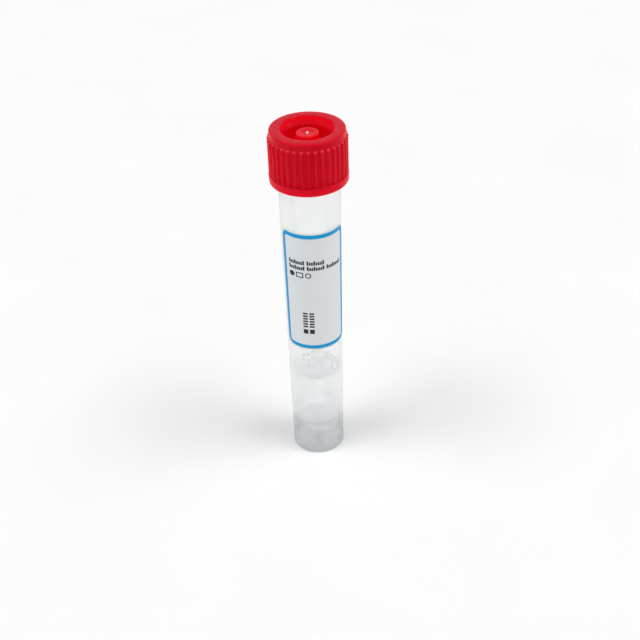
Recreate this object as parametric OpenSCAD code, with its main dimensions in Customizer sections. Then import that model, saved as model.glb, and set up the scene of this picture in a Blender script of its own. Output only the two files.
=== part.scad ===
// Specimen swab tube: a self-standing transport tube with a screw cap, a little
// transport medium in its conical well and a wrapped paper label.
// Millimetres, +Z up. The origin is the centre of the foot, on the surface it
// stands on. Angles around the tube are measured from -Y, the label's front,
// and grow towards +X.

/* [Tube] */
// Height of the tube from its foot to its mouth
tube_h = 98.4; // [96:0.1:120]
// Outer diameter of the straight foot
foot_d = 14.8; // [14.4:0.1:15.2]
// Height of the straight foot
foot_h = 12; // [11:0.5:20]
// Outer diameter of the body just below its shoulder
body_d = 16; // [15.9:0.05:16.6]
// Distance from the shoulder up to the mouth
neck_len = 10.8; // [9.6:0.1:13]
// Outer diameter of the neck, at the root of its thread
neck_d = 15.6; // [15.3:0.05:15.8]
// Bore of the parallel seat that takes the cap's plug
mouth_d = 13.8; // [13.4:0.05:14]
// Length of the parallel seat below the mouth
seat_len = 8; // [6:0.5:14]
// Wall of the body and of the conical well
wall = 1.1; // [0.9:0.05:1.3]
// Wall of the foot's skirt
skirt_wall = 1; // [0.8:0.05:1.2]
// Half angle of the conical well
well_angle = 43; // [38:1:50]
// Height of the well's tip above the surface
tip_z = 1.9; // [1:0.1:3]
// Rounding of the well's tip outside
tip_round = 0.8; // [0.4:0.1:1.2]
// Rounding of the well's tip inside
well_round = 1.5; // [0.8:0.1:2]
// Rounding of the foot's edge and of the lip
tube_edge = 0.3; // [0.1:0.05:0.4]

/* [Thread] */
// Rise of the cap for each full turn
lead = 3; // [2.6:0.1:3.6]
// Height of both threads' ridges
ridge_h = 0.65; // [0.55:0.05:0.7]
// Width of a ridge at its root
ridge_root_w = 1.3; // [1:0.05:1.4]
// Width of a ridge at its crest
ridge_crest_w = 0.6; // [0.4:0.05:0.7]
// Turns of ridge on the neck
neck_turns = 2.25; // [1:0.25:2.5]
// Turns of ridge in the cap
cap_turns = 2; // [1:0.25:2.5]
// Distance from the mouth down to the top end of the neck's ridge
neck_ridge_drop = 1.3; // [1:0.1:2]
// Distance from the cap's lower edge up to the start of its ridge
cap_ridge_rise = 1.3; // [1:0.1:2]
// Space between a crest and the root that it faces
crest_gap = 0.3; // [0.2:0.05:0.35]
// Space between the flanks that bear on each other
flank_gap = 0.08; // [0.05:0.01:0.15]

/* [Cap] */
// Height of the cap
cap_h = 13.9; // [13:0.1:15]
// Thickness of the cap's top, from the seal up
top_t = 1.6; // [1.2:0.1:2.4]
// Diameter over the grip ribs
grip_d = 20.1; // [19.8:0.1:21]
// Diameter of the plain collar above the ribs, and between them
collar_d = 19.1; // [18.9:0.05:19.4]
// Height of the plain collar
collar_h = 1.65; // [1:0.05:2.5]
// Diameter of the plain ring below the ribs
ring_d = 20.25; // [19.8:0.05:21]
// Height of the plain ring
ring_h = 2.25; // [1.5:0.05:3]
// Number of grip ribs
rib_count = 36; // [24:1:48]
// Width of a rib at its root
rib_root_w = 1.05; // [0.6:0.05:1.1]
// Width of a rib at its crest
rib_crest_w = 0.5; // [0.3:0.05:0.6]
// Diameter of the recess at the cap's top
recess_d = 13.5; // [12.8:0.1:14]
// Wall of the plug that goes into the tube
plug_wall = 0.85; // [0.7:0.05:1.1]
// Length of the plug below the seal
plug_len = 6.4; // [5:0.1:7.5]
// Space between the plug and the tube's seat
plug_gap = 0.1; // [0.05:0.01:0.2]
// Thickness of the floor that joins the plug to the post
floor_t = 0.9; // [0.7:0.05:1.2]
// Diameter of the central post
post_d = 5.75; // [5.2:0.05:6.5]
// Depth of the post's top below the cap's top
post_drop = 1.2; // [0.8:0.1:2]
// Thickness of the post's top
post_top_t = 1; // [0.7:0.1:1.5]
// Width and depth of the dish in the post's top, and the width of its flat bottom
dish_d = 4.1; // [3:0.1:4.6]
dish_floor_d = 1.7; // [1:0.1:2.4]
dish_depth = 0.3; // [0.1:0.05:0.4]
// Diameter of the gate mark in the dish, and its height above the post's top
gate_d = 0.65; // [0.4:0.05:0.9]
gate_h = 0.15; // [0.05:0.05:0.3]
// Diameter of the swab socket under the post, at its mouth
socket_d = 4.1; // [3.6:0.1:4.2]
// Diameter of the swab socket at its blind end
socket_end_d = 2.4; // [1.6:0.1:3]
// Width and height of the lead-in chamfer at the socket's mouth
socket_lead_w = 0.3; // [0.1:0.05:0.4]
socket_lead_h = 0.6; // [0.2:0.1:1]
// Height of the plug's tapered tip
plug_tip_h = 1.2; // [0.6:0.1:2]
// Rounding of the cap's edges
cap_edge = 0.35; // [0.15:0.05:0.45]

/* [Seal] */
// Thickness of the seal ring
seal_t = 1; // [0.6:0.1:1.5]
// Space between the seal ring and the plug it is stretched over
seal_gap = 0.1; // [0.05:0.01:0.15]
// How far the seal ring reaches past the neck's wall
seal_lap = 0.35; // [0:0.05:0.5]

/* [Medium] */
// Height of the liquid's surface at its middle
level_z = 26.4; // [16:0.1:60]
// How far the liquid climbs at the wall
climb = 0.8; // [0.3:0.1:1.2]
// Space left between the liquid and the wall
wet_gap = 0.05; // [0.03:0.01:0.1]

/* [Label] */
// Height of the label's lower edge above the surface
label_z = 38.5; // [30:0.5:45]
// Height of the label
label_h = 37; // [30:0.5:40]
// Width of the label, around the tube
label_w = 20; // [18.5:0.1:40]
// Angle of the label's middle
label_turn = 5; // [-20:1:20]
// Thickness of the paper
paper_t = 0.1; // [0.06:0.01:0.15]
// Thickness of the print
ink_t = 0.04; // [0.03:0.01:0.06]
// Space under the paper and under the print
layer_gap = 0.03; // [0.02:0.01:0.04]
// Paper left outside the printed border
margin = 0.45; // [0.2:0.05:1]
// Width of the printed border's line
line_w = 1.15; // [0.8:0.05:2]
// Corner radius of the printed border, outside
corner_r = 2; // [1.5:0.1:3]
// Height of a printed bar
bar_h = 1.25; // [0.8:0.05:1.4]
// Distance from the border's upper edge down to the first line of bars
bars_drop = 7.8; // [4:0.1:12]
// Distance from one line of bars to the next
bars_pitch = 1.65; // [1.5:0.05:2.2]
// Distance from the border's left edge to the lines of bars
bars_inset = 2.3; // [1.6:0.1:2.3]
// Distance from the border's right edge to the end of the upper and of the lower line of bars
upper_bars_end = 7.1; // [4:0.1:9]
lower_bars_end = 1.9; // [1.6:0.1:9]
// Gap between two bars of a line
bar_gap = 0.5; // [0.3:0.05:0.8]
// Height of a printed symbol
symbol_h = 1.6; // [1:0.1:2]
// Distance from the border's upper edge down to the symbols
symbols_drop = 11.5; // [11.5:0.1:16]
// Width of the frame symbol, and the gap from one symbol to the next
frame_w = 2; // [1.2:0.1:2.6]
symbol_gap = 0.5; // [0.5:0.1:1.6]
// Width of the symbols' lines
symbol_line = 0.28; // [0.2:0.02:0.4]
// Distance from the border's left edge to the first upright column
column_inset = 5.8; // [4:0.1:9]
// Width of a column, and the distance from one column to the next
column_w = 1.3; // [0.8:0.05:1.6]
column_pitch = 1.75; // [1.75:0.05:2.7]
// Distance from the border's lower edge up to the columns' squares, and their height
column_rise = 5; // [3:0.5:9]
square_h = 1.4; // [0.8:0.1:1.6]
// Number of blocks in a column, their height and their pitch
block_count = 6; // [3:1:10]
block_h = 0.5; // [0.3:0.05:0.6]
block_pitch = 0.85; // [0.7:0.05:1.2]

/* [Hidden] */
$fn = 96;

// Steps in a rounded edge, in a full turn of a ridge, and across the label
arc_steps = 5;
turn_steps = 36;
span_steps = 24;
// Depth of a ridge's root in its wall, and the turn that its ends run out over
ridge_sink = 0.15;
runout_turn = 1 / 9;
// Depth of a grip rib's root in the collar, and how far a cutting shape reaches past what it cuts
rib_sink = 0.05;
past = 1;

foot_r = foot_d / 2;
body_r = body_d / 2;
neck_r = neck_d / 2;
mouth_r = mouth_d / 2;
shoulder_z = tube_h - neck_len;
seat_z = tube_h - seat_len;

// Conical well: where its straight flanks would meet, and where they meet the walls
skirt_in_r = foot_r - skirt_wall;
low_bore_r = foot_r - wall;
apex_out_z = tip_z + tip_round - tip_round / sin(well_angle);
apex_in_z = apex_out_z + wall / sin(well_angle);
skirt_top_z = apex_out_z + skirt_in_r / tan(well_angle);
well_top_z = apex_in_z + low_bore_r / tan(well_angle);

// Cap and seal, stacked on the tube's mouth
seal_top_z = tube_h + seal_t;
cap_top_z = seal_top_z + top_t;
cap_low_z = cap_top_z - cap_h;
plug_r = mouth_r - plug_gap;
plug_low_z = seal_top_z - plug_len;
cap_bore_r = neck_r + ridge_h + crest_gap;
post_r = post_d / 2;
post_top_z = cap_top_z - post_drop;
rib_top_z = cap_top_z - collar_h;
rib_low_z = cap_low_z + ring_h;

// Axial distance between the two ridges' middles when their flanks bear
ridge_flank = (ridge_root_w - ridge_crest_w) / 2 / ridge_h;
ridge_offset = ridge_root_w - ridge_flank * (cap_bore_r - neck_r) + flank_gap;
neck_ridge_z = tube_h - neck_ridge_drop - neck_turns * lead;
cap_ridge_z = cap_low_z + cap_ridge_rise;
cap_ridge_start = 360 * (cap_ridge_z - neck_ridge_z + ridge_offset) / lead;

// Label layers, outwards from the tube's wall
paper_lift = layer_gap;
ink_lift = layer_gap + paper_t + layer_gap;
border_low_z = label_z + margin;
border_top_z = label_z + label_h - margin;
label_r = wall_r(label_z + label_h / 2);
label_from = label_turn - arc_angle(label_w / 2);
label_to = label_turn + arc_angle(label_w / 2);
border_from = label_from + arc_angle(margin);
border_to = label_to - arc_angle(margin);
bars_end = [upper_bars_end, lower_bars_end];
bars_in_line = [2, 3];

// Radius of the tube's outer wall at a height, up to the shoulder
function wall_r(z) = z <= foot_h ? foot_r
    : foot_r + (body_r - foot_r) * (z - foot_h) / (shoulder_z - foot_h);

// Radius of the tube's bore at a height, from the top of the well up
function bore_r(z) = z >= seat_z ? mouth_r
    : low_bore_r + (mouth_r - low_bore_r) * (z - well_top_z) / (seat_z - well_top_z);

// Angle that a length takes up around the label
function arc_angle(s) = s / label_r * 180 / PI;

// Angle at a distance from the border's left edge
function across(s) = border_from + arc_angle(s);

// A point at an angle, a radius and a height
function around(angle, r, z) = [r * cos(angle), r * sin(angle), z];

// A point on a layer of the label, at an angle from the front and a height
function on_label(angle, z, lift) = around(angle - 90, wall_r(z) + lift, z);

// Points of an arc, from one angle to another
function arc(x, y, r, from, to) =
    [for (i = [0:arc_steps]) let (a = from + (to - from) * i / arc_steps) [x + r * cos(a), y + r * sin(a)]];

// Points of a cone's rounded tip, from the tip out to the straight flank
function rounded_tip(apex_z, r) = arc(0, apex_z + r / sin(well_angle), r, -90, -well_angle);

// Section of a ridge, anticlockwise. sink is negative in a bore, where the crest points inwards
function ridge_section(root_r, height, sink) = let (
        crest_r = root_r + height,
        out = height + sink > 0,
        low = [root_r - sink, ridge_root_w / 2 + ridge_flank * abs(sink)],
        high = [crest_r, ridge_crest_w / 2])
    out ? [[low[0], -low[1]], [high[0], -high[1]], high, low]
        : [[high[0], -high[1]], [low[0], -low[1]], low, high];

// A solid through a row of rings of points. A ring is anticlockwise as seen along the row.
// A closed row ends where it starts
module loft(rings, closed = false) {
    n = len(rings[0]);
    last = len(rings) - 1;
    sides = [for (i = [0:closed ? last : last - 1], k = [0:n - 1])
        let (a = i * n, b = (i + 1) % len(rings) * n, next = (k + 1) % n)
        [a + k, a + next, b + next, b + k]];
    ends = [[for (k = [n - 1:-1:0]) k], [for (k = [0:n - 1]) last * n + k]];
    polyhedron(points = [for (ring = rings) each ring], faces = closed ? sides : concat(sides, ends),
        convexity = 6);
}

// A thread's ridge around a wall of radius root_r, right-handed, from height z and angle start.
// side is 1 on a neck and -1 in a bore. The ridge runs out at both ends.
module ridge(root_r, side, z, start, turns) {
    steps = round(turns * turn_steps);
    loft([for (i = [0:steps])
        let (share = min(1, i / (runout_turn * turn_steps), (steps - i) / (runout_turn * turn_steps)),
            height = side * (ridge_h * share - ridge_sink / 2 * (1 - share)))
        [for (p = ridge_section(root_r, height, side * ridge_sink))
            around(start + 360 * i / turn_steps, p[0], z + lead * i / turn_steps + p[1])]]);
}

// A layer on the body's tapering wall, between two heights and two angles
module wrap(low, high, from, to, lift, t) {
    rotate([0, 0, from - 90])
        rotate_extrude(angle = to - from)
            polygon([
                [wall_r(low) + lift, low],
                [wall_r(low) + lift + t, low],
                [wall_r(high) + lift + t, high],
                [wall_r(high) + lift, high]]);
}

// A stub that points out of the wall at a height and an angle
module stub(z, angle, r) {
    rotate([0, 0, angle - 90])
        translate([label_r, 0, z])
            rotate([0, 90, 0])
                cylinder(r = r, h = 2 * past, center = true);
}

// A layer with rounded corners, lofted across from its left edge to its right edge
module wrap_rounded(low, high, from, to, r, lift, t) {
    turn = arc_angle(r);
    left = [for (i = [0:arc_steps]) let (a = 90 * i / arc_steps) [turn * (1 - cos(a)), r * (1 - sin(a))]];
    columns = concat(
        [for (c = left) [from + c[0], c[1]]],
        [for (i = [1:span_steps - 1]) [from + turn + (to - from - 2 * turn) * i / span_steps, 0]],
        [for (i = [arc_steps:-1:0]) [to - left[i][0], left[i][1]]]);
    loft([for (c = columns) [
        on_label(c[0], low + c[1], lift),
        on_label(c[0], low + c[1], lift + t),
        on_label(c[0], high - c[1], lift + t),
        on_label(c[0], high - c[1], lift)]]);
}

// A line with rounded corners round a layer's edge, lofted anticlockwise from its lower right corner
module wrap_frame(low, high, from, to, r, line, lift, t) {
    turn = arc_angle(r);
    corners = [
        [to - turn, low + r, -90],
        [to - turn, high - r, 0],
        [from + turn, high - r, 90],
        [from + turn, low + r, 180]];
    // an angle and a height to measure from, and the way across the line there
    stops = [for (k = [0:3]) let (a = corners[k], span = corners[(k + 1) % 4][0] - a[0]) each concat(
        [for (i = [0:arc_steps]) [a[0], a[1], a[2] + 90 * i / arc_steps]],
        span == 0 ? [] : [for (i = [1:span_steps - 1]) [a[0] + span * i / span_steps, a[1], a[2] + 90]])];
    loft([for (s = stops)
        [for (p = [[r, lift], [r, lift + t], [r - line, lift + t], [r - line, lift]])
            on_label(s[0] + arc_angle(p[0] * cos(s[2])), s[1] + p[0] * sin(s[2]), p[1])]],
        closed = true);
}

// The moulded tube: foot, tapering body, neck with its thread, and conical well
module tube() {
    color([0.93, 0.94, 0.95, 0.6]) {
        rotate_extrude()
            polygon(concat(
                [[skirt_in_r, 0]],
                arc(foot_r - tube_edge, tube_edge, tube_edge, -90, 0),
                [[foot_r, foot_h], [body_r, shoulder_z - (body_r - neck_r)], [neck_r, shoulder_z]],
                arc(neck_r - tube_edge, tube_h - tube_edge, tube_edge, 0, 90),
                [[mouth_r + tube_edge / 2, tube_h], [mouth_r, tube_h - tube_edge]],
                [[mouth_r, seat_z], [low_bore_r, well_top_z]],
                [for (i = [arc_steps:-1:0]) rounded_tip(apex_in_z, well_round)[i]],
                rounded_tip(apex_out_z, tip_round),
                [[skirt_in_r, skirt_top_z]]));
        ridge(neck_r, 1, neck_ridge_z, 0, neck_turns);
    }
}

// The liquid in the well, with its surface drawn up at the wall
module transport_medium() {
    top_r = bore_r(level_z + climb) - wet_gap;
    bowl_r = (top_r * top_r + climb * climb) / (2 * climb);
    sweep = asin(top_r / bowl_r);
    color([0.9, 0.93, 0.95, 0.5])
        rotate_extrude()
            polygon(concat(
                rounded_tip(apex_in_z + wet_gap / sin(well_angle), well_round),
                [[low_bore_r - wet_gap, well_top_z]],
                arc(0, level_z + bowl_r, bowl_r, -90 + sweep, -90)));
}

// The wrapped paper label
module label() {
    color([0.88, 0.89, 0.89])
        wrap_rounded(label_z, label_z + label_h, label_from, label_to, corner_r + margin,
            paper_lift, paper_t);
}

// The printed border, a rounded frame
module label_border() {
    color([0.08, 0.5, 0.76])
        wrap_frame(border_low_z, border_top_z, border_from, border_to, corner_r, line_w, ink_lift, ink_t);
}

// The printed marks: plain bars, symbols and blocks in place of words
module label_marks() {
    color([0.16, 0.17, 0.2]) {
        printed_bars();
        printed_symbols();
        printed_columns();
    }
}

// Two lines of bars
module printed_bars() {
    for (i = [0:1])
        printed_line(border_top_z - bars_drop - i * bars_pitch,
            label_w - 2 * margin - bars_inset - bars_end[i], bars_in_line[i]);
}

// A line of equal bars with gaps between them
module printed_line(top, length, count) {
    bar_w = (length - (count - 1) * bar_gap) / count;
    for (k = [0:count - 1])
        mark(top, bar_h, bars_inset + k * (bar_w + bar_gap), bar_w);
}

// Three plain symbols: a disc, a frame and a ring
module printed_symbols() {
    top = border_top_z - symbols_drop;
    symbol_r = symbol_h / 2;
    disc_at = bars_inset + symbol_r;
    frame_at = disc_at + symbol_r + symbol_gap;
    ring_at = frame_at + frame_w + symbol_gap + symbol_r;
    intersection() {
        wrap(top - symbol_h - past, top + past, border_from, across(ring_at + symbol_r + past),
            ink_lift, ink_t);
        union() {
            stub(top - symbol_r, across(disc_at), symbol_r);
            difference() {
                stub(top - symbol_r, across(ring_at), symbol_r);
                stub(top - symbol_r, across(ring_at), symbol_r - symbol_line);
            }
        }
    }
    difference() {
        mark(top, symbol_h, frame_at, frame_w);
        wrap(top - symbol_h + symbol_line, top - symbol_line, across(frame_at + symbol_line),
            across(frame_at + frame_w - symbol_line), ink_lift - ink_t, 3 * ink_t);
    }
}

// Two upright columns, each of a square below and a row of blocks above
module printed_columns() {
    blocks_low = border_low_z + column_rise + square_h + 2 * (block_pitch - block_h);
    for (i = [0:1]) {
        at = column_inset + i * column_pitch;
        mark(border_low_z + column_rise + square_h, square_h, at, column_w);
        for (k = [0:block_count - 1])
            mark(blocks_low + block_h + k * block_pitch, block_h, at, column_w);
    }
}

// One printed bar. top is its upper edge, and at is the border's left edge to its own
module mark(top, height, at, width) {
    wrap(top - height, top, across(at), across(at + width), ink_lift, ink_t);
}

// The seal ring between the tube's mouth and the cap's top
module seal_ring() {
    color([0.92, 0.92, 0.9])
        translate([0, 0, tube_h])
            rotate_extrude()
                translate([plug_r + seal_gap, 0])
                    square([neck_r + seal_lap - plug_r - seal_gap, seal_t]);
}

// Outline of the ribbed grip: a crest and a valley for each rib
module grip_outline() {
    valley_r = collar_d / 2 - rib_sink;
    step = 360 / rib_count;
    root = atan(rib_root_w / 2 / valley_r);
    crest = atan(rib_crest_w / 2 / (grip_d / 2));
    polygon([for (i = [0:rib_count - 1], p = [
            [valley_r, -root], [grip_d / 2, -crest], [grip_d / 2, crest], [valley_r, root]])
        [p[0] * cos(i * step + p[1]), p[0] * sin(i * step + p[1])]]);
}

// The grip ribs, chamfered at their upper ends and cut hollow
module grip_ribs() {
    chamfer = (grip_d - collar_d) / 2;
    intersection() {
        translate([0, 0, rib_low_z - ring_h / 2])
            linear_extrude(rib_top_z - rib_low_z + ring_h / 2)
                difference() {
                    grip_outline();
                    circle(r = cap_bore_r + (collar_d / 2 - cap_bore_r) / 2);
                }
        rotate_extrude()
            polygon([
                [0, cap_low_z],
                [grip_d / 2 + past, cap_low_z],
                [grip_d / 2 + past, rib_top_z - chamfer - past],
                [collar_d / 2 - rib_sink, rib_top_z],
                [0, rib_top_z]]);
    }
}

// The moulded cap: ribbed skirt with its thread, top, plug, and post with its swab socket
module screw_cap() {
    collar_r = collar_d / 2;
    ring_r = ring_d / 2;
    recess_r = recess_d / 2;
    trough_r = plug_r - plug_wall;
    trough_z = plug_low_z + floor_t;
    color([0.8, 0.04, 0.1]) {
        rotate_extrude()
            polygon(concat(
                [[cap_bore_r + cap_edge / 2, cap_low_z]],
                arc(ring_r - cap_edge, cap_low_z + cap_edge, cap_edge, -90, 0),
                arc(ring_r - cap_edge, rib_low_z - cap_edge, cap_edge, 0, 90),
                [[collar_r, rib_low_z]],
                arc(collar_r - cap_edge, cap_top_z - cap_edge, cap_edge, 0, 90),
                arc(recess_r + cap_edge, cap_top_z - cap_edge, cap_edge, 90, 180),
                [[trough_r + plug_wall / 4, seal_top_z]],
                [[trough_r - cap_edge / 2, trough_z + cap_edge], [trough_r - cap_edge, trough_z]],
                [[post_r + cap_edge, trough_z], [post_r + cap_edge / 2, trough_z + cap_edge]],
                arc(post_r - cap_edge / 2, post_top_z - cap_edge / 2, cap_edge / 2, 0, 90),
                [[dish_d / 2, post_top_z], [dish_floor_d / 2, post_top_z - dish_depth]],
                [[gate_d / 2, post_top_z - dish_depth], [gate_d / 2, post_top_z]],
                [[0, post_top_z + gate_h], [0, post_top_z - post_top_t]],
                [[socket_end_d / 2, post_top_z - post_top_t], [socket_d / 2, plug_low_z + socket_lead_h]],
                [[socket_d / 2 + socket_lead_w, plug_low_z], [plug_r - 2 * cap_edge, plug_low_z]],
                [[plug_r, plug_low_z + plug_tip_h], [plug_r, seal_top_z], [cap_bore_r, seal_top_z]],
                [[cap_bore_r, cap_low_z + cap_edge]]));
        grip_ribs();
        ridge(cap_bore_r, -1, cap_ridge_z, cap_ridge_start, cap_turns);
    }
}

tube();
transport_medium();
label();
label_border();
label_marks();
seal_ring();
screw_cap();
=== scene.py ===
"""The looks of a specimen swab tube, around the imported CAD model.

Lengths are in millimetres until a mesh is made, where MM turns them into metres.
Angles around the label are in degrees from -Y, its front, and grow towards +X.
"""

import math

import bpy
import numpy as np
from mathutils import Matrix, Vector


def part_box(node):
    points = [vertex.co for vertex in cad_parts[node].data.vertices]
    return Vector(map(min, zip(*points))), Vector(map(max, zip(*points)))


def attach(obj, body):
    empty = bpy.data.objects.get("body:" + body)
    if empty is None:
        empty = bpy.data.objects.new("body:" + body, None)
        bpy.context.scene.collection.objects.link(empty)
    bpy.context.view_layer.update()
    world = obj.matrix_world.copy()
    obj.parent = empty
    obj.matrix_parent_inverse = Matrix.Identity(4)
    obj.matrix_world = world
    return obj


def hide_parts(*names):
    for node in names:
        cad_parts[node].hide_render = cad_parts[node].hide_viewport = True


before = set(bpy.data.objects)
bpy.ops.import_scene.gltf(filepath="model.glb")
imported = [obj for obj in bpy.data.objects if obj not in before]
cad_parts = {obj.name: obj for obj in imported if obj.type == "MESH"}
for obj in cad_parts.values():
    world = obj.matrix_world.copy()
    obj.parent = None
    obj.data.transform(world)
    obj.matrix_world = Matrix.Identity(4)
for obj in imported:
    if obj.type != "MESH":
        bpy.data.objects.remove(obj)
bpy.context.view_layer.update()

MM = 0.001
# A point this close to a wall's radius lies on that wall
HAIR = 0.02
# Nearly all of a noise texture's values lie between these two
NOISE_LOW = 0.3
NOISE_HIGH = 0.7


def low(node):
    """The lowest height of a CAD node."""
    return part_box(node)[0].z / MM


def high(node):
    """The greatest height of a CAD node."""
    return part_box(node)[1].z / MM


def reach(node):
    """The greatest radius of a CAD node that goes right round the axis."""
    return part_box(node)[1].x / MM


# --- Sizes of the tube ----------------------------------------------------------------
mouth_z = high("tube")
shoulder_z = mouth_z - 10.8
seat_z = mouth_z - 8
foot_h = 12
foot_r = 7.4
body_r = 8
neck_r = 7.8
mouth_r = 6.9
wall = 1.1
skirt_r = foot_r - 1
well_slope = math.tan(math.radians(43))
well_low_z = 1.9
well_tip_r = 0.5
well_tip_dip = 0.02
tube_edge = 0.3
# Up to here the skirt is milkier than the wall above it, and painted a darker grey as painted shade
# of the shadowed hollow inside it
skirt_shade_top_z = 8.4

# --- Sizes of the two threads ---------------------------------------------------------
lead = 3
ridge_h = 0.65
ridge_root_w = 1.3
ridge_crest_w = 0.6
# Share of a turn over which a ridge rises from nothing and runs out again
runout = 1 / 9
neck_turns = 2.25
cap_turns = 2
neck_ridge_z = mouth_z - 1.3 - neck_turns * lead
cap_ridge_rise = 1.3
flank_gap = 0.08

# --- Sizes of the cap -----------------------------------------------------------------
cap_low_z = low("screw_cap")
cap_top_z = high("screw_cap")
seal_top_z = high("seal_ring")
cap_bore_r = neck_r + ridge_h + 0.3
collar_r = 9.55
collar_h = 1.65
grip_r = 10.05
ring_r = reach("screw_cap")
ring_h = 2.25
rib_count = 36
rib_root_w = 1.05
rib_crest_w = 0.5
# Height over which a rib's top slopes in, and the finer-stepped lengths at its two ends
rib_slope_h = 0.55
rib_top_len = 1
rib_low_len = 0.5
recess_r = 6.75
plug_r = 6.8
plug_wall = 0.85
plug_len = 6.4
floor_t = 0.9
post_r = 2.875
post_drop = 1.2
post_top_t = 1
# The post's top is a shallow dish, with the mould's gate mark in its middle
dish_r = 2.05
dish_depth = 0.3
gate_r = 0.33
socket_r = 2.05
socket_end_r = 1.2

# --- Sizes of the label and its print -------------------------------------------------
label_low_z = low("label")
label_top_z = high("label")
label_turn = 5
label_w = 20
paper_gap = 0.03
paper_t = 0.1
print_t = 0.02
margin = 0.45
border_w = 1.12
border_corner_r = 2
border_left = -label_w / 2 + margin
border_right = label_w / 2 - margin
border_low_z = label_low_z + margin
border_top_z = label_top_z - margin

# --- Sizes of the liquid --------------------------------------------------------------
liquid_top_z = high("transport_medium")
# How high the liquid climbs the wall, over what width, and how far it reaches into the wall
climb = 0.8
meniscus_w = 0.85
wet = 0.02
# Width of the steep rim that has a material of its own, painted darker as painted shade
rim_w = 0.22
# Thickness of a bubble's skin
film_t = 0.12
# The ring of liquid that a bubble draws up, as a share of its radius, and the ring's width
bubble_lift = 0.25
bubble_lift_w = 0.3
# Depth of the dent under a bubble, as a share of its radius
bubble_dent = 0.3

# --- Fineness of the meshes -----------------------------------------------------------
# Columns around the axis
tube_columns = 180
liquid_columns = 160
bubble_columns = 40
seal_columns = 120
columns_per_rib = 10
# Longest steps along a profile, where a thread or the ribs' ends shape it
neck_step = 0.11
cap_bore_step = 0.16
rib_end_step = 0.09
# Rings across the liquid's surface, and the grid over the label
liquid_rings = 44
label_columns = 120
label_rows = 190
label_corner_columns = 9


def wall_r(z):
    """Radius of the tube's outer wall below the shoulder."""
    share = np.clip((np.asarray(z, float) - foot_h) / (shoulder_z - foot_h), 0, 1)
    return foot_r + (body_r - foot_r) * share


def bore_r(z):
    """Radius of the tube's bore above the well."""
    low_r = foot_r - wall
    low_z = well_in_z + low_r / well_slope
    share = np.clip((z - low_z) / (seat_z - low_z), 0, 1)
    return low_r + (mouth_r - low_r) * share


# Heights at which the well's straight flanks would meet, outside and inside
well_out_z = well_low_z - 0.35
well_in_z = well_out_z + wall / math.sin(math.atan(well_slope))
# Height at which the inner flank meets the rounded tip
well_tip_z = well_in_z + well_tip_r / well_slope
label_r = float(wall_r((label_low_z + label_top_z) / 2))


# --- Profiles -------------------------------------------------------------------------
def rounded(corners, steps=6):
    """The points of a profile whose corners, each (r, z, radius), are rounded."""
    points = []
    for i, (r, z, radius) in enumerate(corners):
        corner = np.array((r, z), float)
        if radius == 0 or i == 0 or i == len(corners) - 1:
            points.append(corner)
            continue
        before = np.array(corners[i - 1][:2]) - corner
        after = np.array(corners[i + 1][:2]) - corner
        before /= np.linalg.norm(before)
        after /= np.linalg.norm(after)
        half = math.acos(np.clip(before @ after, -1, 1)) / 2
        middle = (before + after) / np.linalg.norm(before + after)
        centre = corner + middle * radius / math.sin(half)
        first = corner + before * radius / math.tan(half) - centre
        last = corner + after * radius / math.tan(half) - centre
        for k in range(steps + 1):
            spoke = first * (1 - k / steps) + last * k / steps
            points.append(centre + spoke * radius / np.linalg.norm(spoke))
    return points


def refined(points, step, chosen):
    """The profile with more points where chosen(r, z) holds, no further apart than step."""
    fine = [points[0]]
    for a, b in zip(points, points[1:]):
        middle = (a + b) / 2
        count = math.ceil(np.linalg.norm(b - a) / step) if chosen(*middle) else 1
        fine += [a + (b - a) * k / count for k in range(1, count + 1)]
    return fine


# --- Meshes ---------------------------------------------------------------------------
def add_piece(name, points, faces, body, material, stands_for=()):
    """A smooth mesh piece from points in millimetres, riding on a body."""
    mesh = bpy.data.meshes.new(name)
    mesh.from_pydata((np.asarray(points) * MM).tolist(), [], faces)
    mesh.validate()
    mesh.shade_smooth()
    mesh.materials.append(material)
    piece = bpy.data.objects.new(name, mesh)
    bpy.context.scene.collection.objects.link(piece)
    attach(piece, body)
    if stands_for:
        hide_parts(*stands_for)
    return piece


class Group:
    """Points and faces of several shapes gathered into one mesh."""

    def __init__(self):
        self.points = []
        self.faces = []

    def add(self, points, faces):
        offset = len(self.points)
        self.points += list(points)
        self.faces += [tuple(offset + i for i in face) for face in faces]


def turned(profile, columns, shape=None, closed=False):
    """Points and faces of a profile turned about the axis. An end on the axis becomes one point.

    shape(r, z, angle) gives the radius of each point, where it isn't the profile's own.
    """
    rows = np.array(profile, float)
    angles = np.arange(columns) * 2 * math.pi / columns
    radius = np.repeat(rows[:, :1], columns, axis=1)
    height = np.repeat(rows[:, 1:], columns, axis=1)
    if shape is not None:
        radius = shape(radius, height, angles[None, :])
    grid = np.stack([radius * np.cos(angles), radius * np.sin(angles), height], axis=2)
    points, index = [], []
    for i, row in enumerate(grid):
        on_axis = rows[i, 0] < 1e-9
        first = len(points)
        index.append([first] * columns if on_axis else range(first, first + columns))
        points += [row[0]] if on_axis else list(row)
    faces = []
    for i in range(len(grid) - (0 if closed else 1)):
        a, b = index[i], index[(i + 1) % len(grid)]
        for j in range(columns):
            k = (j + 1) % columns
            face = dict.fromkeys((a[j], a[k], b[k], b[j]))
            faces.append(tuple(face))
    return points, faces


def paint(piece, material, chosen):
    """Gives another material to the faces of a piece whose radius and height are chosen."""
    piece.data.materials.append(material)
    for face in piece.data.polygons:
        middle = face.center / MM
        if chosen(middle.xy.length, middle.z):
            face.material_index = len(piece.data.materials) - 1


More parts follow.
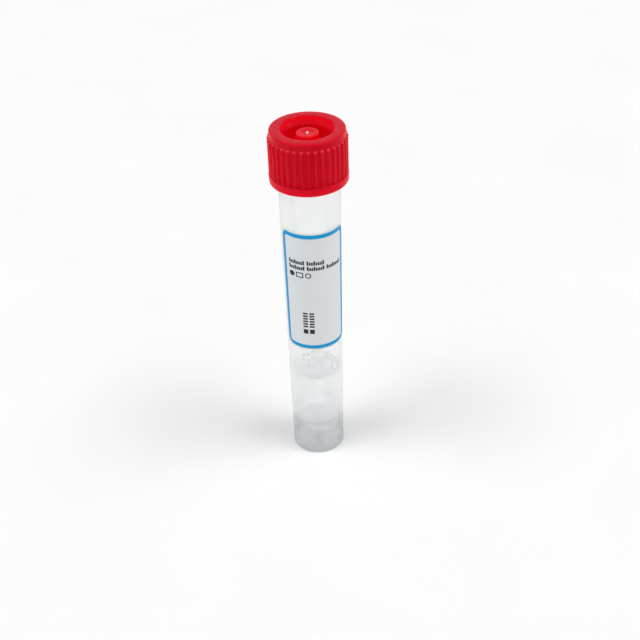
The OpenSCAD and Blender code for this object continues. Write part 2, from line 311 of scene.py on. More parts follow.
def ridge(z, angle, start_z, start, turns):
    """Height of a thread's ridge at a height and an angle on its wall."""
    height = np.zeros(np.broadcast(z, angle).shape)
    first = (angle - start) / (2 * math.pi) % 1
    flank = (ridge_root_w - ridge_crest_w) / 2
    for turn in range(math.ceil(turns)):
        along = first + turn
        off = np.abs(z - start_z - lead * along)
        share = np.clip((ridge_root_w / 2 - off) / flank, 0, 1)
        ends = np.clip(np.minimum(along, turns - along) / runout, 0, 1)
        height = np.maximum(height, ridge_h * smooth(share) * smooth(ends))
    return height


def smooth(share):
    """A soft step from 0 to 1."""
    return share * share * (3 - 2 * share)


# --- Materials ------------------------------------------------------------------------
def new_material(name, **sockets):
    """A material of one Principled shader, its sockets set by name."""
    material = bpy.data.materials.new(name)
    material.use_nodes = True
    shader = material.node_tree.nodes["Principled BSDF"]
    for socket, value in sockets.items():
        shader.inputs[socket.replace("_", " ")].default_value = value
    return material, material.node_tree, shader


def noise(tree, scale, detail=3, roughness=0.5):
    """A noise texture in the object's own metres. scale is how many grains fit in a millimetre."""
    place = tree.nodes.new("ShaderNodeTexCoord")
    texture = tree.nodes.new("ShaderNodeTexNoise")
    texture.inputs["Scale"].default_value = scale / MM
    texture.inputs["Detail"].default_value = detail
    texture.inputs["Roughness"].default_value = roughness
    tree.links.new(place.outputs["Object"], texture.inputs["Vector"])
    return texture.outputs["Fac"]


def ramp(tree, value, first, last):
    """A noise value turned into a blend of two colours."""
    node = tree.nodes.new("ShaderNodeValToRGB")
    places = (NOISE_LOW, NOISE_HIGH)
    for stop, place, colour in zip(node.color_ramp.elements, places, (first, last)):
        stop.position = place
        stop.color = (*colour, 1)
    tree.links.new(value, node.inputs["Fac"])
    return node.outputs["Color"]


def spread(tree, value, first, last):
    """A noise value turned into a range of numbers."""
    node = tree.nodes.new("ShaderNodeMapRange")
    node.inputs["From Min"].default_value = NOISE_LOW
    node.inputs["From Max"].default_value = NOISE_HIGH
    node.inputs["To Min"].default_value = first
    node.inputs["To Max"].default_value = last
    tree.links.new(value, node.inputs["Value"])
    return node.outputs["Result"]


def bump(tree, shader, value, height, strength):
    """Fine relief on a shader. height is in millimetres."""
    node = tree.nodes.new("ShaderNodeBump")
    node.inputs["Strength"].default_value = strength
    node.inputs["Distance"].default_value = height * MM
    tree.links.new(value, node.inputs["Height"])
    tree.links.new(node.outputs["Normal"], shader.inputs["Normal"])


def facing_blend(tree, first, last, power=3):
    """A number that goes from first, seen square on, to last, seen edge on."""
    weight = tree.nodes.new("ShaderNodeLayerWeight")
    weight.inputs["Blend"].default_value = 0.5
    sharper = tree.nodes.new("ShaderNodeMath")
    sharper.operation = "POWER"
    sharper.inputs[1].default_value = power
    tree.links.new(weight.outputs["Facing"], sharper.inputs[0])
    spread_out = tree.nodes.new("ShaderNodeMapRange")
    spread_out.inputs["To Min"].default_value = first
    spread_out.inputs["To Max"].default_value = last
    tree.links.new(sharper.outputs["Value"], spread_out.inputs["Value"])
    return spread_out.outputs["Result"]


def tinted_edge(tree, colour, edge, power=3):
    """A colour that turns into another where the surface is seen edge on."""
    mix = tree.nodes.new("ShaderNodeMix")
    mix.data_type = "RGBA"
    tree.links.new(facing_blend(tree, 0, 1, power), mix.inputs["Factor"])
    tree.links.new(colour, mix.inputs[6])
    mix.inputs[7].default_value = (*edge, 1)
    return mix.outputs[2]


def tube_plastic(name, clear, veil, edge_veil, shade, edge):
    """Natural polypropylene, softly polished.

    veil is how much of the light meets the plastic's milky body, and edge_veil how much of it
    does where the wall is seen edge on. clear is how much of that goes through it. shade is the
    plastic's colour, and edge the colour it is painted where it is seen edge on; a darker edge
    there is painted shade along the wall's outline.
    """
    material, tree, shader = new_material(name, IOR=1.49, Transmission_Weight=clear)
    haze = noise(tree, 0.25)
    colour = ramp(tree, haze, [channel - 0.015 for channel in shade], shade)
    tree.links.new(tinted_edge(tree, colour, edge), shader.inputs["Base Color"])
    tree.links.new(facing_blend(tree, veil, edge_veil), shader.inputs["Alpha"])
    grain = noise(tree, 2.5)
    tree.links.new(spread(tree, grain, 0.04, 0.08), shader.inputs["Roughness"])
    bump(tree, shader, grain, 0.01, 0.4)
    return material


def liquid_medium(name, veil, tint):
    """Clear watery liquid. veil is how much of the light it bends."""
    material, tree, shader = new_material(name, IOR=1.33, Transmission_Weight=1.0, Alpha=veil)
    paler = [(channel + 1) / 2 for channel in tint]
    colour = ramp(tree, noise(tree, 0.1), tint, paler)
    tree.links.new(colour, shader.inputs["Base Color"])
    shader.inputs["Roughness"].default_value = 0.02
    bump(tree, shader, noise(tree, 0.4), 0.02, 0.3)
    return material


def meniscus_painted_shade():
    """The steep edge of the liquid, painted dark grey: painted shade along the meniscus."""
    material, tree, shader = new_material(
        "meniscus_painted_shade", IOR=1.33, Transmission_Weight=0.5, Alpha=0.8)
    colour = ramp(tree, noise(tree, 0.3), (0.46, 0.5, 0.51), (0.52, 0.56, 0.57))
    tree.links.new(colour, shader.inputs["Base Color"])
    shader.inputs["Roughness"].default_value = 0.05
    return material


def bubble_painted_highlight():
    """The thin wet skin of a bubble, clearer in the middle than at its outline, painted near white
    as a painted highlight of its glints.
    """
    material, tree, shader = new_material("bubble_painted_highlight", IOR=1.33)
    film = noise(tree, 1.5)
    colour = ramp(tree, film, (0.95, 0.97, 0.97), (1, 1, 1))
    colour = tinted_edge(tree, colour, (0.95, 0.97, 0.97), power=2)
    tree.links.new(colour, shader.inputs["Base Color"])
    tree.links.new(facing_blend(tree, 0.6, 1, power=2), shader.inputs["Alpha"])
    tree.links.new(spread(tree, film, 0.01, 0.05), shader.inputs["Roughness"])
    bump(tree, shader, film, 0.02, 0.3)
    return material


def label_paper():
    """Coated label paper with a faint fibre."""
    material, tree, shader = new_material("label_paper", Roughness=0.55)
    fibre = noise(tree, 1.6, detail=6, roughness=0.65)
    colour = ramp(tree, fibre, (0.62, 0.645, 0.655), (0.66, 0.68, 0.69))
    tree.links.new(colour, shader.inputs["Base Color"])
    tree.links.new(spread(tree, fibre, 0.45, 0.62), shader.inputs["Roughness"])
    bump(tree, shader, fibre, 0.012, 0.6)
    return material


def ink(name, first, last):
    """Printed ink on the paper, with a little of its fibre."""
    material, tree, shader = new_material(name, Specular_IOR_Level=0.15)
    fibre = noise(tree, 2.4, detail=5, roughness=0.6)
    tree.links.new(ramp(tree, fibre, first, last), shader.inputs["Base Color"])
    tree.links.new(spread(tree, fibre, 0.38, 0.52), shader.inputs["Roughness"])
    bump(tree, shader, fibre, 0.008, 0.5)
    return material


def silicone():
    """Off-white silicone rubber."""
    material, tree, shader = new_material("silicone", Subsurface_Weight=0.15)
    shader.inputs["Subsurface Scale"].default_value = 0.5 * MM
    cloud = noise(tree, 0.8)
    colour = ramp(tree, cloud, (0.78, 0.78, 0.76), (0.84, 0.84, 0.82))
    tree.links.new(colour, shader.inputs["Base Color"])
    tree.links.new(spread(tree, cloud, 0.5, 0.62), shader.inputs["Roughness"])
    bump(tree, shader, noise(tree, 3), 0.01, 0.4)
    return material


def cap_plastic(name, red, pale=0.0):
    """Red polyethylene with the soft sheen and fine grain of its mould.

    red is how strong its red is, and pale is how much of the other colours is in it.
    """
    material, tree, shader = new_material(name, Specular_IOR_Level=0.08, Subsurface_Weight=1.0)
    shader.inputs["Subsurface Scale"].default_value = 3 * MM
    shader.inputs["Subsurface Radius"].default_value = (1, 0.08, 0.08)
    cloud = noise(tree, 0.3, detail=4)
    colour = ramp(tree, cloud, (red, pale, pale + 0.01), (red + 0.04, pale, pale + 0.014))
    tree.links.new(colour, shader.inputs["Base Color"])
    grain = noise(tree, 4, detail=4)
    tree.links.new(spread(tree, grain, 0.27, 0.4), shader.inputs["Roughness"])
    bump(tree, shader, grain, 0.008, 0.5)
    return material


def gate_painted_highlight():
    """The gate mark on the post, painted near white as a painted highlight on it."""
    material, tree, shader = new_material("gate_painted_highlight")
    grain = noise(tree, 6)
    colour = ramp(tree, grain, (0.94, 0.8, 0.8), (1, 0.94, 0.94))
    tree.links.new(colour, shader.inputs["Base Color"])
    tree.links.new(spread(tree, grain, 0.3, 0.5), shader.inputs["Roughness"])
    bump(tree, shader, grain, 0.01, 0.5)
    return material


def floor_white():
    """The plain white floor."""
    material, tree, shader = new_material("floor_white", Roughness=0.7)
    colour = ramp(tree, noise(tree, 0.02), (0.86, 0.86, 0.86), (0.88, 0.88, 0.88))
    tree.links.new(colour, shader.inputs["Base Color"])
    return material


# --- The tube -------------------------------------------------------------------------
def tube_profile():
    """From the well's tip under the cone, round the foot and the mouth, to its tip inside."""
    inner_low_r = foot_r - wall
    inner_low_z = well_in_z + inner_low_r / well_slope
    return rounded([
        (0, well_low_z, 0),
        (0.6, well_low_z + 0.02, 0.5),
        (skirt_r, well_out_z + skirt_r / well_slope, 0.35),
        (skirt_r, 0, 0.12),
        (foot_r, 0, tube_edge),
        (foot_r, foot_h, 6),
        (body_r, shoulder_z - 0.25, 0.12),
        (neck_r, shoulder_z, 0.1),
        (neck_r, mouth_z, tube_edge),
        (mouth_r, mouth_z, 0.25),
        (mouth_r, seat_z, 4),
        (inner_low_r, inner_low_z, 1.2),
        (well_tip_r, well_tip_z, 0.5),
        (0, well_tip_z - well_tip_dip, 0),
    ])


def make_tube():
    """The tube, whose wall looks different on its inside, under the well, and round the skirt,
    painted darker there as painted shade.
    """

    def on_neck(r, z):
        return (np.abs(r - neck_r) < HAIR) & (z > shoulder_z)

    def with_thread(r, z, angle):
        return r + np.where(on_neck(r, z), ridge(z, angle, neck_ridge_z, 0, neck_turns), 0)

    profile = refined(tube_profile(), neck_step, on_neck)
    points, faces = turned(profile, tube_columns, with_thread)
    # The outside's dark edge colour is painted shade along the tube's outline
    outside = tube_plastic("tube_outside", clear=0.4, veil=0.35, edge_veil=0.7,
                           shade=(0.93, 0.96, 0.97), edge=(0.42, 0.47, 0.48))
    tube = add_piece("moulded_tube", points, faces, "tube_body", outside, ["tube"])

    inside = tube_plastic("tube_inside", clear=1.0, veil=0.1, edge_veil=0.1,
                          shade=(0.97, 0.98, 0.98), edge=(0.97, 0.98, 0.98))
    paint(tube, inside, lambda r, z: r < wall_r(z) - 0.35)
    # The skirt's darker grey is painted shade of the shadowed hollow inside it
    skirt = tube_plastic("tube_skirt_painted_shade", clear=0.5, veil=0.45, edge_veil=0.65,
                         shade=(0.56, 0.6, 0.63), edge=(0.4, 0.45, 0.47))
    paint(tube, skirt, lambda r, z: r > skirt_r - 0.1 and z < skirt_shade_top_z)
    well = tube_plastic("tube_well", clear=0.5, veil=0.6, edge_veil=0.6,
                        shade=(0.97, 0.98, 0.99), edge=(0.9, 0.93, 0.94))
    paint(tube, well, lambda r, z: r < skirt_r - 0.1 and z < well_out_z + r / well_slope + 0.4)


# --- The liquid -----------------------------------------------------------------------
# Each bubble on the surface: its place from the axis, how high it sits, and its radius
bubbles = [
    (0.9, 4.2, 0.9, 1.9),
    (-4.2, 3.9, 0.3, 0.75),
    (-3.0, 5.0, 0.8, 0.6),
    (-2.1, 3.6, 0.1, 0.6),
    (-1.9, 5.4, 0.7, 0.5),
    (-3.4, 2.9, 0.0, 0.35),
    (-1.2, 2.6, 0.0, 0.3),
    (3.3, 4.4, 0.3, 0.65),
    (3.6, 4.75, 1.1, 0.45),
    (4.5, 3.3, 0.1, 0.4),
    (4.9, -0.2, 0.1, 0.8),
]


def surface_z(x, y):
    """Height of the liquid's surface: it climbs the bore's wall, and a little round each bubble."""
    from_wall = float(bore_r(liquid_top_z)) + wet - np.hypot(x, y)
    height = liquid_top_z - climb + climb * np.exp(-from_wall / meniscus_w)
    for bubble_x, bubble_y, _, radius in bubbles:
        share = np.hypot(x - bubble_x, y - bubble_y) / radius
        ring = np.exp(-((share - 1) * radius / bubble_lift_w) ** 2)
        height = height + bubble_lift * radius * ring
        height = height - bubble_dent * radius * np.maximum(1 - share ** 2, 0)
    return height


def make_liquid():
    """The liquid reaches a hair into the wall, so that no air lies between them."""
    edge_r = float(bore_r(liquid_top_z)) + wet
    low_r = foot_r - wall + wet
    bottom_z = well_tip_z - well_tip_dip - wet
    under = rounded([
        (0, bottom_z, 0),
        (well_tip_r, bottom_z + well_tip_dip, 0.5),
        (low_r, well_in_z + low_r / well_slope - wet, 1.2),
        (edge_r, liquid_top_z, 0),
    ])
    surface = [np.array((edge_r * (1 - k / liquid_rings), liquid_top_z))
               for k in range(1, liquid_rings + 1)]
    points, faces = turned(under + surface, liquid_columns)
    points = np.array(points)
    radius = np.hypot(points[:, 0], points[:, 1])
    on_top = (points[:, 2] > liquid_top_z - 0.01) & (radius < edge_r - 0.01)
    points[on_top, 2] = surface_z(points[on_top, 0], points[on_top, 1])
    # The surface's grey tint is painted shade over the liquid's top
    top = liquid_medium("liquid_surface_painted_shade", veil=1.0, tint=(0.76, 0.8, 0.81))
    liquid = add_piece("liquid", points, faces, "tube_body", top, ["transport_medium"])

    # No face of the surface lies as low as this
    surface_low_z = liquid_top_z - 3
    at_wall = liquid_medium("liquid_at_wall", veil=0.15, tint=(0.97, 0.98, 0.985))
    paint(liquid, at_wall, lambda r, z: r > bore_r(z) or z < surface_low_z)
    # The steep rim is painted darker, painted shade of the meniscus line
    paint(liquid, meniscus_painted_shade(),
          lambda r, z: z > surface_low_z and bore_r(z) - rim_w < r < bore_r(z))


def make_bubbles():
    """Thin domes of the liquid, floating along the wall at the back."""
    dome_turn = 1.9
    group = Group()
    for x, y, rise, radius in bubbles:
        arc = [(math.sin(turn), math.cos(turn)) for turn in np.linspace(0, dome_turn, 16)]
        outer = [(radius * a, radius * b) for a, b in arc]
        inner = [((radius - film_t) * a, (radius - film_t) * b) for a, b in arc]
        points, faces = turned(outer + inner[::-1], bubble_columns)
        centre = np.array((x, y, liquid_top_z - climb + rise))
        group.add([centre + point for point in points], [face[::-1] for face in faces])
    add_piece("bubbles", group.points, group.faces, "tube_body", bubble_painted_highlight())


# --- The label ------------------------------------------------------------------------
# Each crease: place to the right of the label's middle, height, turn, length and depth
creases = [
    (2.7, 51.3, 0.85, 1.6, 0.2),
    (3.3, 50.6, 0.85, 1.3, 0.16),
    (2.2, 52.6, 0.7, 1.0, 0.12),
    (4.1, 54.8, 0.8, 1.2, 0.15),
    (6.3, 55.4, 0.9, 1.4, 0.13),
    (5.0, 48.0, 1.1, 1.8, 0.1),
    (3.9, 46.5, 0.9, 1.4, 0.08),
]
crease_w = 0.22


def label_angle(s):
    """Angle, in degrees from the front, at a length to the right of the label's middle."""
    return label_turn + math.degrees(1) * np.asarray(s, float) / label_r


def crease(s, z):
    """Height of the label's faint creases at a place on it, in millimetres."""
    height = 0
    for place_s, place_z, turn, length, depth in creases:
        u = (s - place_s) * math.cos(turn) + (z - place_z) * math.sin(turn)
        v = (z - place_z) * math.cos(turn) - (s - place_s) * math.sin(turn)
        height = height + depth * np.exp(-(u / length) ** 2 - (v / crease_w) ** 2)
    return height


def on_label(s, z, lift):
    """Points at a length to the right of the label's middle, a height, and a lift off the tube."""
    s, z = np.broadcast_arrays(np.asarray(s, float), np.asarray(z, float))
    radius = wall_r(z) + paper_gap + lift + crease(s, z)
    angle = np.radians(label_angle(s) - 90)
    return np.stack([radius * np.cos(angle), radius * np.sin(angle), z], axis=-1)


def sheet(s, z, lift, thickness, closed=False):
    """Points and faces of a thin sheet over a grid of places on the label.

    closed joins the last row of the grid to the first.
    """
    rows, columns = s.shape
    outer = on_label(s, z, lift + thickness).reshape(-1, 3)
    inner = on_label(s, z, lift).reshape(-1, 3)
    count = rows * columns
    points = np.concatenate([outer, inner])
    faces = []
    last = rows if closed else rows - 1
    for i in range(last):
        a, b = i * columns, (i + 1) % rows * columns
        for j in range(columns - 1):
            faces.append((a + j, a + j + 1, b + j + 1, b + j))
            faces.append((count + b + j, count + b + j + 1, count + a + j + 1, count + a + j))
        for j, flipped in ((0, False), (columns - 1, True)):
            side = (a + j, b + j, count + b + j, count + a + j)
            faces.append(side[::-1] if flipped else side)
    if not closed:
        a = (rows - 1) * columns
        for j in range(columns - 1):
            faces.append((j + 1, j, count + j, count + j + 1))
            faces.append((a + j, a + j + 1, count + a + j + 1, count + a + j))
    return points, faces


def make_label():
    """A sheet with rounded corners: each column of the grid is as tall as the corners let it be."""
    half_w = label_w / 2
    corner = border_corner_r + margin
    ends = half_w - corner * (1 - np.sin(np.linspace(math.pi / 2, 0, label_corner_columns)))
    middle = np.linspace(half_w - corner, -(half_w - corner), label_columns)[1:-1]
    s = np.concatenate([ends, middle, -ends[::-1]])
    past = np.maximum(np.abs(s) - (half_w - corner), 0)
    cut = corner - np.sqrt(np.maximum(corner ** 2 - past ** 2, 0))
    share = np.linspace(0, 1, label_rows)[:, None]
    z = (label_low_z + cut) + (label_top_z - label_low_z - 2 * cut) * share
    points, faces = sheet(np.broadcast_to(s, z.shape), z, 0, paper_t)
    paper = label_paper()
    add_piece("paper_label", points, faces, "tube_body", paper, ["label"])


def frame_outline(half_w, low_z, high_z, corner, steps=10, run=60):
    """Places round a rounded rectangle on the label, with the way outwards at each.

    steps is how many each corner has, and run how many each side has.
    """
    places = []
    for k, (sx, sz) in enumerate(((1, -1), (1, 1), (-1, 1), (-1, -1))):
        centre = (sx * (half_w - corner), high_z - corner if sz > 0 else low_z + corner)
        for i in range(steps + 1):
            turn = math.radians(-90 + 90 * k + 90 * i / steps)
            places.append((*centre, math.cos(turn), math.sin(turn)))
        after = ((1, 1), (-1, 1), (-1, -1), (1, -1))[k]
        end = (after[0] * (half_w - corner), high_z - corner if after[1] > 0 else low_z + corner)
        turn = math.radians(90 * k)
        for i in range(1, run):
            at = i / run
            s = centre[0] + (end[0] - centre[0]) * at
            z = centre[1] + (end[1] - centre[1]) * at
            places.append((s, z, math.cos(turn), math.sin(turn)))
    return np.array(places)


def make_border():
    """The printed border, a closed band a little inside the label's edge."""
    places = frame_outline(border_right, border_low_z, border_top_z, border_corner_r)
    across = np.linspace(border_corner_r, border_corner_r - border_w, 6)[None, :]
    s = places[:, :1] + places[:, 2:3] * across
    z = places[:, 1:2] + places[:, 3:4] * across
    points, faces = sheet(s, z, paper_t, print_t, closed=True)
    blue = ink("blue_print", (0.0, 0.25, 0.56), (0.0, 0.29, 0.6))
    add_piece("blue_border", points, faces, "tube_body", blue, ["label_border"])


# --- Printed marks --------------------------------------------------------------------
# Two lines of bars: how far each ends before the border's right edge, and how many words it has
bar_lines = [(7.1, 2), (1.9, 3)]
bars_inset = 2.3
bars_drop = 7.8
bars_pitch = 1.65
bar_gap = 0.5
bar_h = 1.25
letter_pitch = 0.56
letter_gap = 0.14
small_letter = 0.72

# A disc, a frame and a ring
symbols_drop = 11.5
symbol_h = 1.6
symbol_gap = 0.5
symbol_line = 0.28
frame_w = 2
disc_middle_r = 0.02

# Two columns of blocks over a square
column_inset = 5.8
column_w = 1.3
column_pitch = 1.75
column_rise = 5
square_h = 1.4
block_count = 6
block_h = 0.5
block_pitch = 0.85

# Longest steps across and up a block, so that it bends with the label, and a disc's sides
block_step_s = 0.25
block_step_z = 0.3
disc_sides = 32


class Marks(Group):
    """Small printed shapes."""

    def lay(self, s, z, closed=False):
        self.add(*sheet(s, z, paper_t, print_t, closed))

    def block(self, s, z, width, height):
        """A block by its left lower corner."""
        columns = max(2, math.ceil(width / block_step_s) + 1)
        rows = max(2, math.ceil(height / block_step_z) + 1)
        across = np.linspace(s, s + width, columns)[None, :]
        up = np.linspace(z, z + height, rows)[:, None]
        self.lay(*np.broadcast_arrays(across, up))

    def disc(self, s, z, outer_r, inner_r):
        """A disc or a ring by its middle."""
        turns = np.arange(disc_sides)[:, None] * 2 * math.pi / disc_sides
        radius = np.linspace(outer_r, inner_r, 3)[None, :]
        self.lay(s + radius * np.cos(turns), z + radius * np.sin(turns), closed=True)


def word(marks, s, top, width):
    """A greeked word: narrow blocks, most as low as small letters and some as tall as high ones."""
    count = max(1, round(width / letter_pitch))
    pitch = width / count
    for k in range(count):
        tall = k == 0 or k % 4 == 3
        height = bar_h if tall else bar_h * small_letter
        marks.block(s + k * pitch, top - bar_h, pitch - letter_gap, height)


def make_marks():
    """Plain marks in the places of the label's words, symbols and columns of small print."""
    marks = Marks()
    for i, (end, count) in enumerate(bar_lines):
        top = border_top_z - bars_drop - i * bars_pitch
        length = border_right - border_left - bars_inset - end
        width = (length - (count - 1) * bar_gap) / count
        for k in range(count):
            word(marks, border_left + bars_inset + k * (width + bar_gap), top, width)

    middle = border_top_z - symbols_drop - symbol_h / 2
    disc_s = border_left + bars_inset + symbol_h / 2
    frame_s = disc_s + symbol_h / 2 + symbol_gap
    ring_s = frame_s + frame_w + symbol_gap + symbol_h / 2
    marks.disc(disc_s, middle, symbol_h / 2, disc_middle_r)
    marks.disc(ring_s, middle, symbol_h / 2, symbol_h / 2 - symbol_line)
    low_z = middle - symbol_h / 2
    for z in (low_z, low_z + symbol_h - symbol_line):
        marks.block(frame_s, z, frame_w, symbol_line)
    for s in (frame_s, frame_s + frame_w - symbol_line):
        marks.block(s, low_z + symbol_line, symbol_line, symbol_h - 2 * symbol_line)

    square_z = border_low_z + column_rise
    for i in range(2):
        s = border_left + column_inset + i * column_pitch
        marks.block(s, square_z, column_w, square_h)
        for k in range(block_count):
            z = square_z + square_h + 2 * (block_pitch - block_h) + k * block_pitch
            marks.block(s, z, column_w, block_h)
    dark = ink("dark_print", (0.012, 0.014, 0.022), (0.03, 0.032, 0.042))
    add_piece("dark_marks", marks.points, marks.faces, "tube_body", dark,
              ["label_marks"])


# --- The seal -------------------------------------------------------------------------
def make_seal():
    """The ring between the tube's mouth and the cap's top."""
    edge = 0.2
    inner_r = plug_r + 0.1
    outer_r = reach("seal_ring")
    low_z, high_z = low("seal_ring"), high("seal_ring")
    middle_r = (inner_r + outer_r) / 2
    corners = [(middle_r, low_z, 0), (outer_r, low_z, edge), (outer_r, high_z, edge),
               (inner_r, high_z, edge), (inner_r, low_z, edge), (middle_r, low_z, 0)]
    points, faces = turned(rounded(corners)[:-1], seal_columns, closed=True)
    rubber = silicone()
    add_piece("silicone_seal", points, faces, "seal_body", rubber, ["seal_ring"])


# --- The cap --------------------------------------------------------------------------
def cap_profile():
    """From the middle of the post's top, out over the cap's outside, and in to its swab socket."""
    post_top_z = cap_top_z - post_drop
    plug_low_z = seal_top_z - plug_len
    trough_r = plug_r - plug_wall
    trough_z = plug_low_z + floor_t
    rib_low_z = cap_low_z + ring_h
    rib_top_z = cap_top_z - collar_h
    return rounded([
        (0, post_top_z + 0.15, 0),
        (gate_r * 0.7, post_top_z + 0.1, 0.1),
        (gate_r, post_top_z - dish_depth, 0.06),
        (0.85, post_top_z - dish_depth, 0.3),
        (dish_r, post_top_z, 0.4),
        (post_r, post_top_z, 0.15),
        (post_r + 0.15, trough_z + 0.35, 0.1),
        (post_r + 0.35, trough_z, 0.2),
        (trough_r - 0.35, trough_z, 0.3),
        (trough_r, seal_top_z - 0.4, 0.6),
        (recess_r, cap_top_z - 0.55, 0.3),
        (recess_r, cap_top_z, 0.3),
        (collar_r, cap_top_z, 0.35),
        (collar_r, rib_top_z + 0.1, 0),
        (collar_r, rib_top_z - rib_top_len, 0),
        (collar_r, rib_low_z + rib_low_len, 0),
        (collar_r, rib_low_z, 0.08),
        (ring_r, rib_low_z, 0.25),
        (ring_r, cap_low_z, 0.35),
        (cap_bore_r + 0.18, cap_low_z, 0.15),
        (cap_bore_r, cap_low_z + 0.35, 0.15),
        (cap_bore_r, seal_top_z, 0.3),
        (plug_r, seal_top_z, 0.2),
        (plug_r, plug_low_z + 1.2, 0.6),
        (plug_r - 0.7, plug_low_z, 0.3),
        (socket_r + 0.3, plug_low_z, 0.15),
        (socket_r, plug_low_z + 0.6, 0.3),
        (socket_end_r, post_top_z - post_top_t, 0.3),
        (0, post_top_z - post_top_t, 0),
    ])


def make_cap():
    """The cap, with its ribs and its thread, and a red for each zone, some lighter or paler as
    painted light.
    """
    rib_low_z = cap_low_z + ring_h
    rib_top_z = cap_top_z - collar_h
    ridge_z = cap_low_z + cap_ridge_rise
    flank = (ridge_root_w - ridge_crest_w) / 2 / ridge_h
    offset = ridge_root_w - flank * (cap_bore_r - neck_r) + flank_gap
    ridge_start = 2 * math.pi * (ridge_z - neck_ridge_z + offset) / lead

    def on_collar(r, z):
        return (np.abs(r - collar_r) < HAIR) & (z > rib_low_z) & (z < rib_top_z + 0.05)

    def near_rib_end(r, z):
        return on_collar(r, z) and (z > rib_top_z - rib_top_len or z < rib_low_z + rib_low_len)

    def in_bore(r, z):
        return (np.abs(r - cap_bore_r) < HAIR) & (z < ridge_z + cap_turns * lead + 1)

    def shaped(r, z, angle):
        pitch = 2 * math.pi / rib_count
        off = np.abs((angle + pitch / 2) % pitch - pitch / 2) * grip_r
        share = smooth(np.clip((rib_root_w / 2 - off) / ((rib_root_w - rib_crest_w) / 2), 0, 1))
        top = smooth(np.clip((rib_top_z - z) / rib_slope_h, 0, 1))
        rib = (grip_r - collar_r) * share * top
        thread = ridge(z, angle, ridge_z, ridge_start, cap_turns)
        return r + np.where(on_collar(r, z), rib, 0) - np.where(in_bore(r, z), thread, 0)

    profile = refined(cap_profile(), rib_end_step, near_rib_end)
    profile = refined(profile, cap_bore_step, in_bore)
    points, faces = turned(profile, rib_count * columns_per_rib, shaped)
    faces = [face[::-1] for face in faces]
    plastic = cap_plastic("cap_plastic", red=0.49)
    cap = add_piece("cap_shell", points, faces, "cap_body", plastic, ["screw_cap"])

    trough_z = seal_top_z - plug_len + floor_t
    post_top_z = cap_top_z - post_drop
    # Lighter red in the rib valleys: painted light where the ribs' shade falls
    paint(cap, cap_plastic("cap_valleys_painted_light", red=0.62),
          lambda r, z: collar_r - 0.1 < r < collar_r + 0.15 and rib_low_z < z < rib_top_z)
    # Lighter red on the ring below the ribs: painted light bounced up from below
    paint(cap, cap_plastic("cap_ring_painted_light", red=0.57),
          lambda r, z: r > collar_r - 0.1 and z < rib_low_z - 0.05)
    # Paler red on the ribs' sloped tops: painted highlight
    paint(cap, cap_plastic("cap_rib_tops_painted_highlight", red=0.6, pale=0.035),
          lambda r, z: r > collar_r + 0.1 and rib_top_z - 0.5 < z < rib_top_z - 0.1)
    # Brighter red in the recess: painted light where its shade would fall
    paint(cap, cap_plastic("cap_recess_painted_light", red=0.86),
          lambda r, z: r < recess_r + 0.1 and trough_z - 0.1 < z < cap_top_z - 0.2)
    # Lighter red on the post's top: painted light
    paint(cap, cap_plastic("cap_post_painted_light", red=0.62, pale=0.01),
          lambda r, z: r < post_r and z > post_top_z - 0.5)
    # The near-white gate spot: painted highlight
    paint(cap, gate_painted_highlight(), lambda r, z: r < gate_r and z > post_top_z - 0.2)


# --- Floor, light and camera ----------------------------------------------------------
def make_floor():
    """A plain floor, wide enough to reach the horizon in every view."""
    half = 3000
    points = [(-half, -half, 0), (half, -half, 0), (half, half, 0), (-half, half, 0)]
    mesh = bpy.data.meshes.new("floor")
    mesh.from_pydata((np.array(points) * MM).tolist(), [], [(0, 1, 2, 3)])
    mesh.materials.append(floor_white())
    floor = bpy.data.objects.new("floor", mesh)
    bpy.context.scene.collection.objects.link(floor)


def make_sun(name, azimuth, strength, elevation=60, softness=20):
    """A wide, soft light. azimuth is where it comes from, in degrees from -Y towards +X."""
    light = bpy.data.lights.new(name, "SUN")
    light.energy = strength
    light.angle = math.radians(softness)
    sun = bpy.data.objects.new(name, light)
    a, e = math.radians(azimuth), math.radians(elevation)
    back = Vector((math.sin(a) * math.cos(e), -math.cos(a) * math.cos(e), math.sin(e)))
    sun.rotation_euler = back.to_track_quat("Z", "Y").to_euler()
    bpy.context.scene.collection.objects.link(sun)


def make_lights():
    """Three suns on either side, which lay the two soft shadows beside the foot."""
    for azimuth in (58, 74, 90):
        make_sun("left", -azimuth, 0.45)
        make_sun("right", azimuth, 0.485)


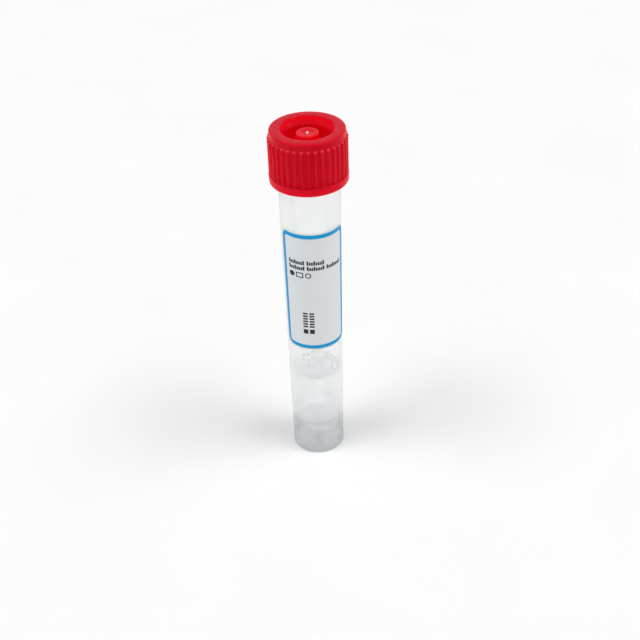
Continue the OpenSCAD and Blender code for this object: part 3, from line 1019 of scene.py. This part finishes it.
def make_world():
    """A studio tent: a bright band a little above the horizon, and dim overhead.

    Each stop is the sine of a height above the horizon, and the light that comes from there.
    """
    world = bpy.data.worlds.new("studio")
    world.use_nodes = True
    tree = world.node_tree
    place = tree.nodes.new("ShaderNodeTexCoord")
    split = tree.nodes.new("ShaderNodeSeparateXYZ")
    tree.links.new(place.outputs["Generated"], split.inputs["Vector"])
    tent = tree.nodes.new("ShaderNodeValToRGB")
    stops = ((0, 1.05), (0.28, 1.05), (0.31, 2.3), (0.48, 0.12))
    for at, _ in stops[1:-1]:
        tent.color_ramp.elements.new(at)
    for stop, (at, level) in zip(tent.color_ramp.elements, stops):
        stop.position = at
        stop.color = (level, level, level, 1)
    tree.links.new(split.outputs["Z"], tent.inputs["Fac"])
    tree.links.new(tent.outputs["Color"], tree.nodes["Background"].inputs["Color"])
    bpy.context.scene.world = world


def make_camera():
    """The photograph's view: its place, the way it looks, and its small roll."""
    place = Vector((0, -235.83, 213.52)) * MM
    yaw, depression, roll = (math.radians(a) for a in (0.369, 35.886, -1.995))
    ahead = Vector((math.sin(yaw) * math.cos(depression), math.cos(yaw) * math.cos(depression),
                    -math.sin(depression)))
    right = Vector((math.cos(yaw), -math.sin(yaw), 0))
    up = right.cross(ahead)
    right, up = (right * math.cos(roll) + up * math.sin(roll),
                 up * math.cos(roll) - right * math.sin(roll))
    data = bpy.data.cameras.new("camera")
    data.lens = 59.2
    data.sensor_width = 36
    data.clip_start = 0.01
    camera = bpy.data.objects.new("camera", data)
    turn = Matrix((right, up, -ahead)).transposed().to_4x4()
    camera.matrix_world = Matrix.Translation(place) @ turn
    bpy.context.scene.collection.objects.link(camera)
    bpy.context.scene.camera = camera


# Light passes many layers of plastic and liquid on its way through the tube
bounces = 32

make_camera()
make_world()
make_lights()
make_floor()
bpy.context.scene.view_settings.view_transform = "Standard"
bpy.context.scene.cycles.max_bounces = bounces
bpy.context.scene.cycles.transmission_bounces = bounces
bpy.context.scene.cycles.transparent_max_bounces = bounces

make_tube()
make_liquid()
make_bubbles()
make_label()
make_border()
make_marks()
make_seal()
make_cap()
